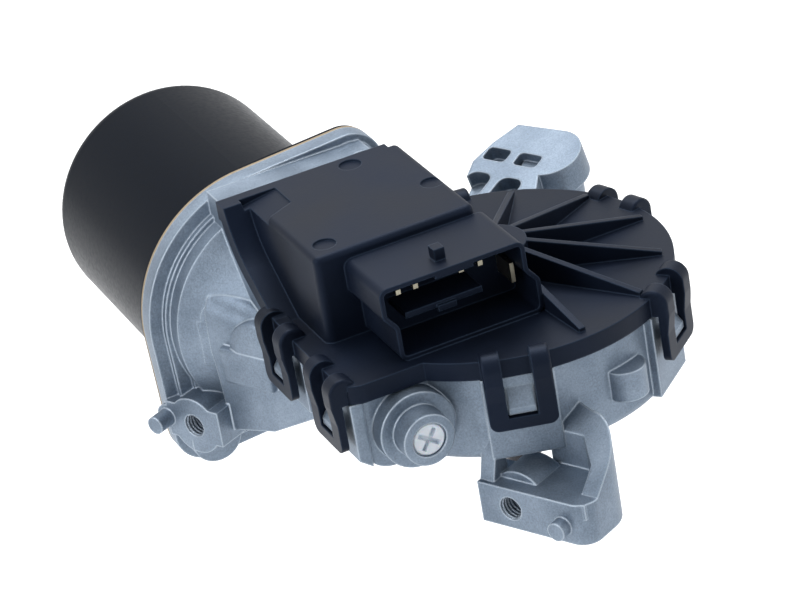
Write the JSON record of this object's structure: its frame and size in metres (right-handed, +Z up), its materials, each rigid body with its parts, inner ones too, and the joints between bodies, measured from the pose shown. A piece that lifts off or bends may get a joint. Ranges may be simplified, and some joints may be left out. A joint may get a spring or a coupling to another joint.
{
  "type": "windscreen wiper motor",
  "caption": "Wiper motor with a cast worm gearbox, black motor can, clip-on plastic cover with electronics box and socket, and a threaded output shaft.",
  "frame": {"origin": "free end of the output shaft, on its axis", "axes": "+Z up the output shaft to the gear cover, +Y along the armature from the gearbox to the closed end of the can, +X away from the armature across the gear disc"},
  "size_m": [0.1251, 0.1927, 0.0885],
  "materials": {
    "cast_aluminium": "fine blasted",
    "black_paint": "gloss",
    "cover_plastic": "matte",
    "gasket_fibre": "matte",
    "seal_rubber": "matte",
    "plug_plastic": "satin",
    "black_steel": "black oxide",
    "bright_steel": "ground",
    "zinc_steel": "zinc plated",
    "sintered_bronze": "porous",
    "tinned_brass": "tinned",
    "copper": "turned",
    "winding_copper": "enamelled",
    "gear_plastic": "satin",
    "ferrite": "ground",
    "phenolic": "matte",
    "board_laminate": "satin",
    "carbon": "matte",
    "relay_plastic": "satin",
    "lead_insulation": "satin"
  },
  "bodies": {
    "housing": {"gear_housing": "cast_aluminium", "gear_cover": "cover_plastic", "cover_gasket": "seal_rubber", "thrust_screw": "plug_plastic", "thrust_pads": "zinc_steel", "front_bush": "sintered_bronze", "drive_bush": "sintered_bronze", "rear_bush": "sintered_bronze", "bearing_retainer": "zinc_steel", "motor_can": "black_paint", "can_gasket": "gasket_fibre", "can_screws": "zinc_steel", "field_magnets": "ferrite", "magnet_clips": "zinc_steel", "brush_plate": "phenolic", "brush_holders": "tinned_brass", "brush_common": "carbon", "brush_low_speed": "carbon", "brush_high_speed": "carbon", "brush_springs": "zinc_steel", "suppression_chokes": "ferrite", "thermal_cutout": "relay_plastic", "outer_washer": "zinc_steel", "dust_seal": "seal_rubber", "output_bushes": "sintered_bronze", "shaft_o_ring": "seal_rubber", "thrust_washer": "zinc_steel", "circuit_board": "board_laminate", "relay": "relay_plastic", "capacitor": "relay_plastic", "park_contacts": "tinned_brass", "connector_pins": "tinned_brass", "ground_blade": "tinned_brass", "motor_leads": "lead_insulation"},
    "output": {"output_shaft": "black_steel", "worm_wheel": "gear_plastic", "contact_disc": "copper", "retaining_ring": "zinc_steel"},
    "armature": {"armature_shaft": "bright_steel", "commutator_core": "phenolic", "commutator_bars": "copper", "armature_core": "bright_steel", "armature_windings": "winding_copper"}
  },
  "joints": [
    {"name": "output_spin", "type": "hinge", "parent": "housing", "child": "output", "pos_m": [0, 0, 0.03], "axis": [0, 0, 1], "continuous": true},
    {"name": "armature_spin", "type": "hinge", "parent": "housing", "child": "armature", "pos_m": [-0.0371, 0, 0.0514], "axis": [0, 1, 0], "continuous": true}
  ],
  "couplings": [
    {"joint": "armature_spin", "follows": "output_spin", "ratio": 51}
  ]
}
